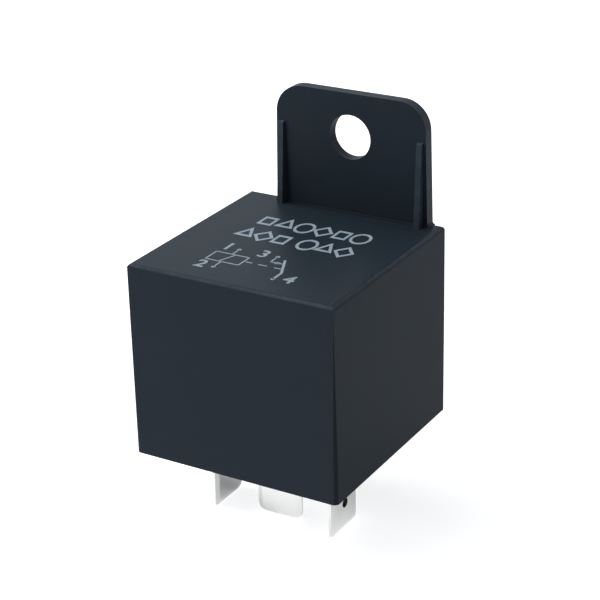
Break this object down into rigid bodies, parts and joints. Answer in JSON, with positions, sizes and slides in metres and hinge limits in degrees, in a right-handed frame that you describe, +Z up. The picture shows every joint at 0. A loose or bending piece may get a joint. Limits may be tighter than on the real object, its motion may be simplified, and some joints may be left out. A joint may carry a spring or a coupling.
{
  "type": "automotive relay",
  "caption": "Sealed plug-in relay: a moulded cover with a fixing bracket over a coil, a yoke and a sprung armature that opens a closed contact, with blade terminals below.",
  "frame": {"origin": "middle of the square footprint, on the plane of the blade tips", "axes": "+Z up to the bracket's top, +Y towards the bracket's side, +X to the right for someone who faces the cover with the bracket behind it"},
  "size_m": [0.0282, 0.0282, 0.0508],
  "materials": {
    "cover_plastic": "satin",
    "base_plastic": "matte",
    "seal_resin": "gloss",
    "tinned_brass": "satin",
    "plated_iron": "satin",
    "core_iron": "satin",
    "bobbin_plastic": "satin",
    "enamelled_copper": "gloss",
    "coil_tape": "gloss",
    "solder": "polished",
    "spring_bronze": "satin",
    "rivet_steel": "satin",
    "contact_silver": "polished",
    "bare_copper": "satin"
  },
  "bodies": {
    "housing": {"cover": "cover_plastic", "base": "base_plastic", "seal_resin": "seal_resin", "coil_terminal_left": "tinned_brass", "coil_terminal_right": "tinned_brass", "contact_terminal": "tinned_brass", "common_terminal": "tinned_brass", "yoke": "plated_iron", "core": "core_iron", "bobbin": "bobbin_plastic", "coil_winding": "enamelled_copper", "coil_tape": "coil_tape", "coil_lead_left": "enamelled_copper", "coil_lead_right": "enamelled_copper", "solder_caps": "solder", "yoke_rivets": "rivet_steel", "fixed_contact": "contact_silver", "braid": "bare_copper"},
    "armature": {"armature": "plated_iron", "contact_spring": "spring_bronze", "armature_rivets": "rivet_steel", "moving_contact": "contact_silver"}
  },
  "joints": [
    {"name": "armature_hinge", "type": "hinge", "parent": "housing", "child": "armature", "pos_m": [0, 0.0096, 0.02823], "axis": [1, 0, 0], "range_deg": [0, 3.2], "stiffness_Nm_per_rad": 0.05, "springref_deg": -8.59, "deforming": ["contact_spring", "braid"]}
  ]
}
